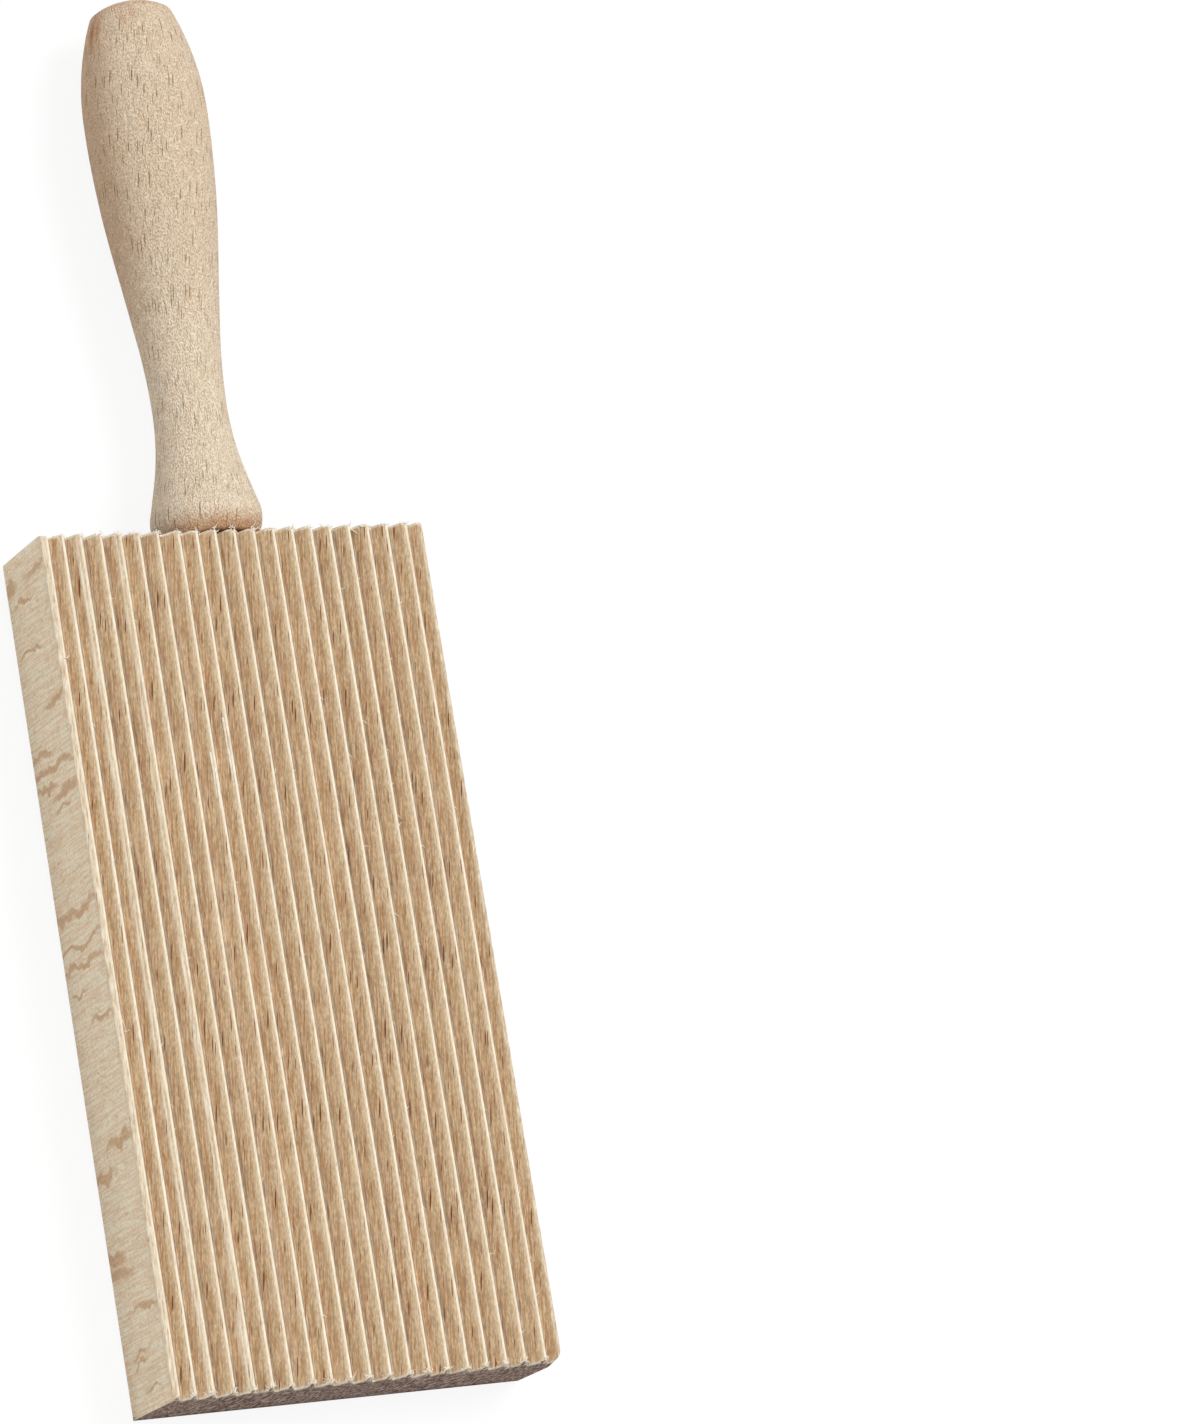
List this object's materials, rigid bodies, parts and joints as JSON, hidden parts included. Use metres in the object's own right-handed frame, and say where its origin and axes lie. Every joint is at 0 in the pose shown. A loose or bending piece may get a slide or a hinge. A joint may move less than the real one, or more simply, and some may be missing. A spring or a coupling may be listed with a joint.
{
  "type": "gnocchi board",
  "caption": "Flat rectangular beech board with fine lengthwise ridges on its face and a turned handle glued into its end, for rolling ridges into gnocchi and pasta.",
  "frame": {"origin": "middle of the underside of the whole object's box: mid-width, mid-length, level with the lowest point of the handle's belly", "axes": "+X across the board, +Y along it from the plain end towards the handle's tip, +Z out of the ribbed face"},
  "size_m": [0.0624, 0.217, 0.0191],
  "materials": {
    "beech_board": "bare beech, sawn edges and a face ribbed by a moulding cutter that left torn fibres",
    "beech_handle": "bare beech, turned and sanded smooth",
    "wood_glue": "cured wood glue, hidden inside the joint"
  },
  "bodies": {
    "root": {"grooved_board": "beech_board", "turned_handle": "beech_handle", "tenon_glue": "wood_glue"}
  },
  "joints": []
}
